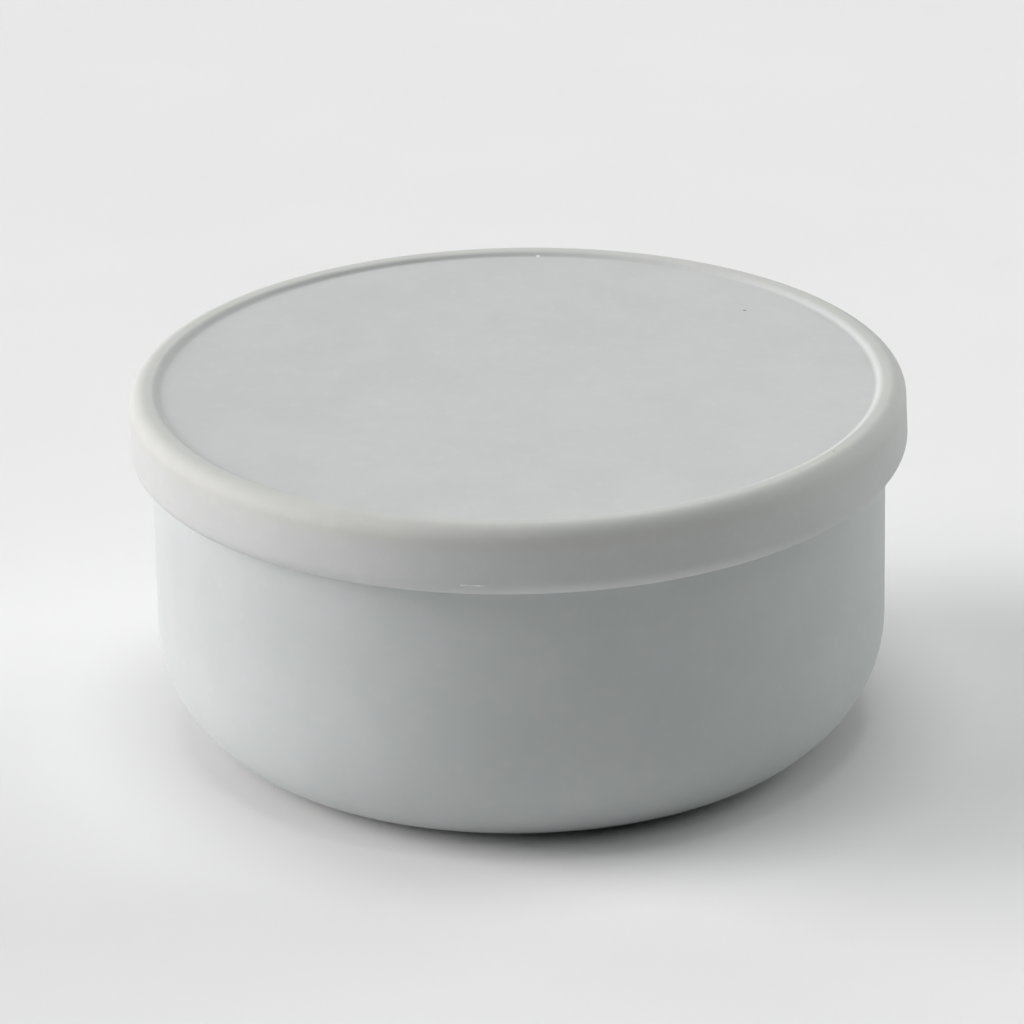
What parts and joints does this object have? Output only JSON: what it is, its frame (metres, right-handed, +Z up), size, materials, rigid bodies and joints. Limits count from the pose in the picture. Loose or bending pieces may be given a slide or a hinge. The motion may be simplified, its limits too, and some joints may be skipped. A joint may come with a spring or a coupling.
{
  "type": "lidded bowl",
  "caption": "Squat round soft silicone bowl with a large rounded lower edge and a lift-off lid: recessed disc, rounded rim bead and a skirt that hangs over the bowl's rim.",
  "frame": {"origin": "centre of the bowl's base, on the surface it stands on", "axes": "+Z up along the axis that the bowl and lid are round about; +X and +Y are free, because both pieces are round"},
  "size_m": [0.1298, 0.1298, 0.0609],
  "materials": {
    "bowl_silicone": "matte",
    "lid_silicone": "matte"
  },
  "bodies": {
    "bowl": {"bowl": "bowl_silicone"},
    "lid": {"lid": "lid_silicone"}
  },
  "joints": [
    {"name": "lid_lift", "type": "slide", "parent": "bowl", "child": "lid", "axis": [0, 0, 1], "range_m": [0, 0.06]}
  ]
}
